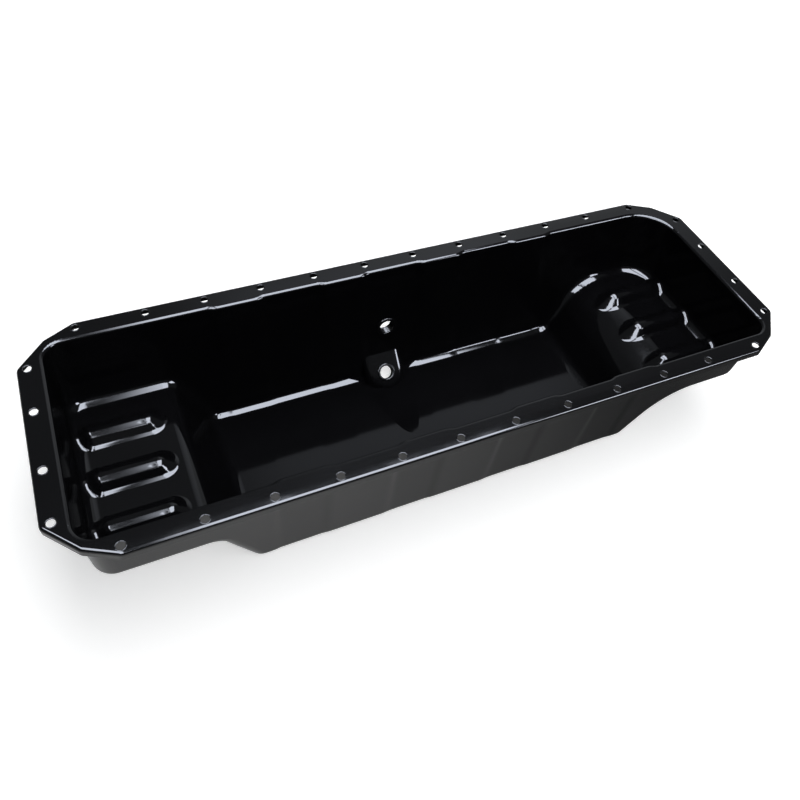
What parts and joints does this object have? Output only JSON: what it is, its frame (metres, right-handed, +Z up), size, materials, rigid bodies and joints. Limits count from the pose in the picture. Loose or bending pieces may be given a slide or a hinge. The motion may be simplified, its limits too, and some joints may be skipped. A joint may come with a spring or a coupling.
{
  "type": "engine oil pan",
  "caption": "Long pressed-steel engine oil pan with a deep middle sump, shallow beaded ends, a bolted flange and two threaded ports.",
  "frame": {"origin": "centre of the flange's bolt pattern, on its sealing face", "axes": "+X along the pan, +Y towards the wall with the two ports, +Z up out of the opening"},
  "size_m": [0.888, 0.307, 0.1816],
  "materials": {
    "coated_sheet": "gloss black electrocoat on pressed steel",
    "coated_bush": "gloss black electrocoat on turned steel"
  },
  "bodies": {
    "root": {"pan_shell": "coated_sheet", "drain_bush": "coated_bush", "port_bush": "coated_bush"}
  },
  "joints": []
}
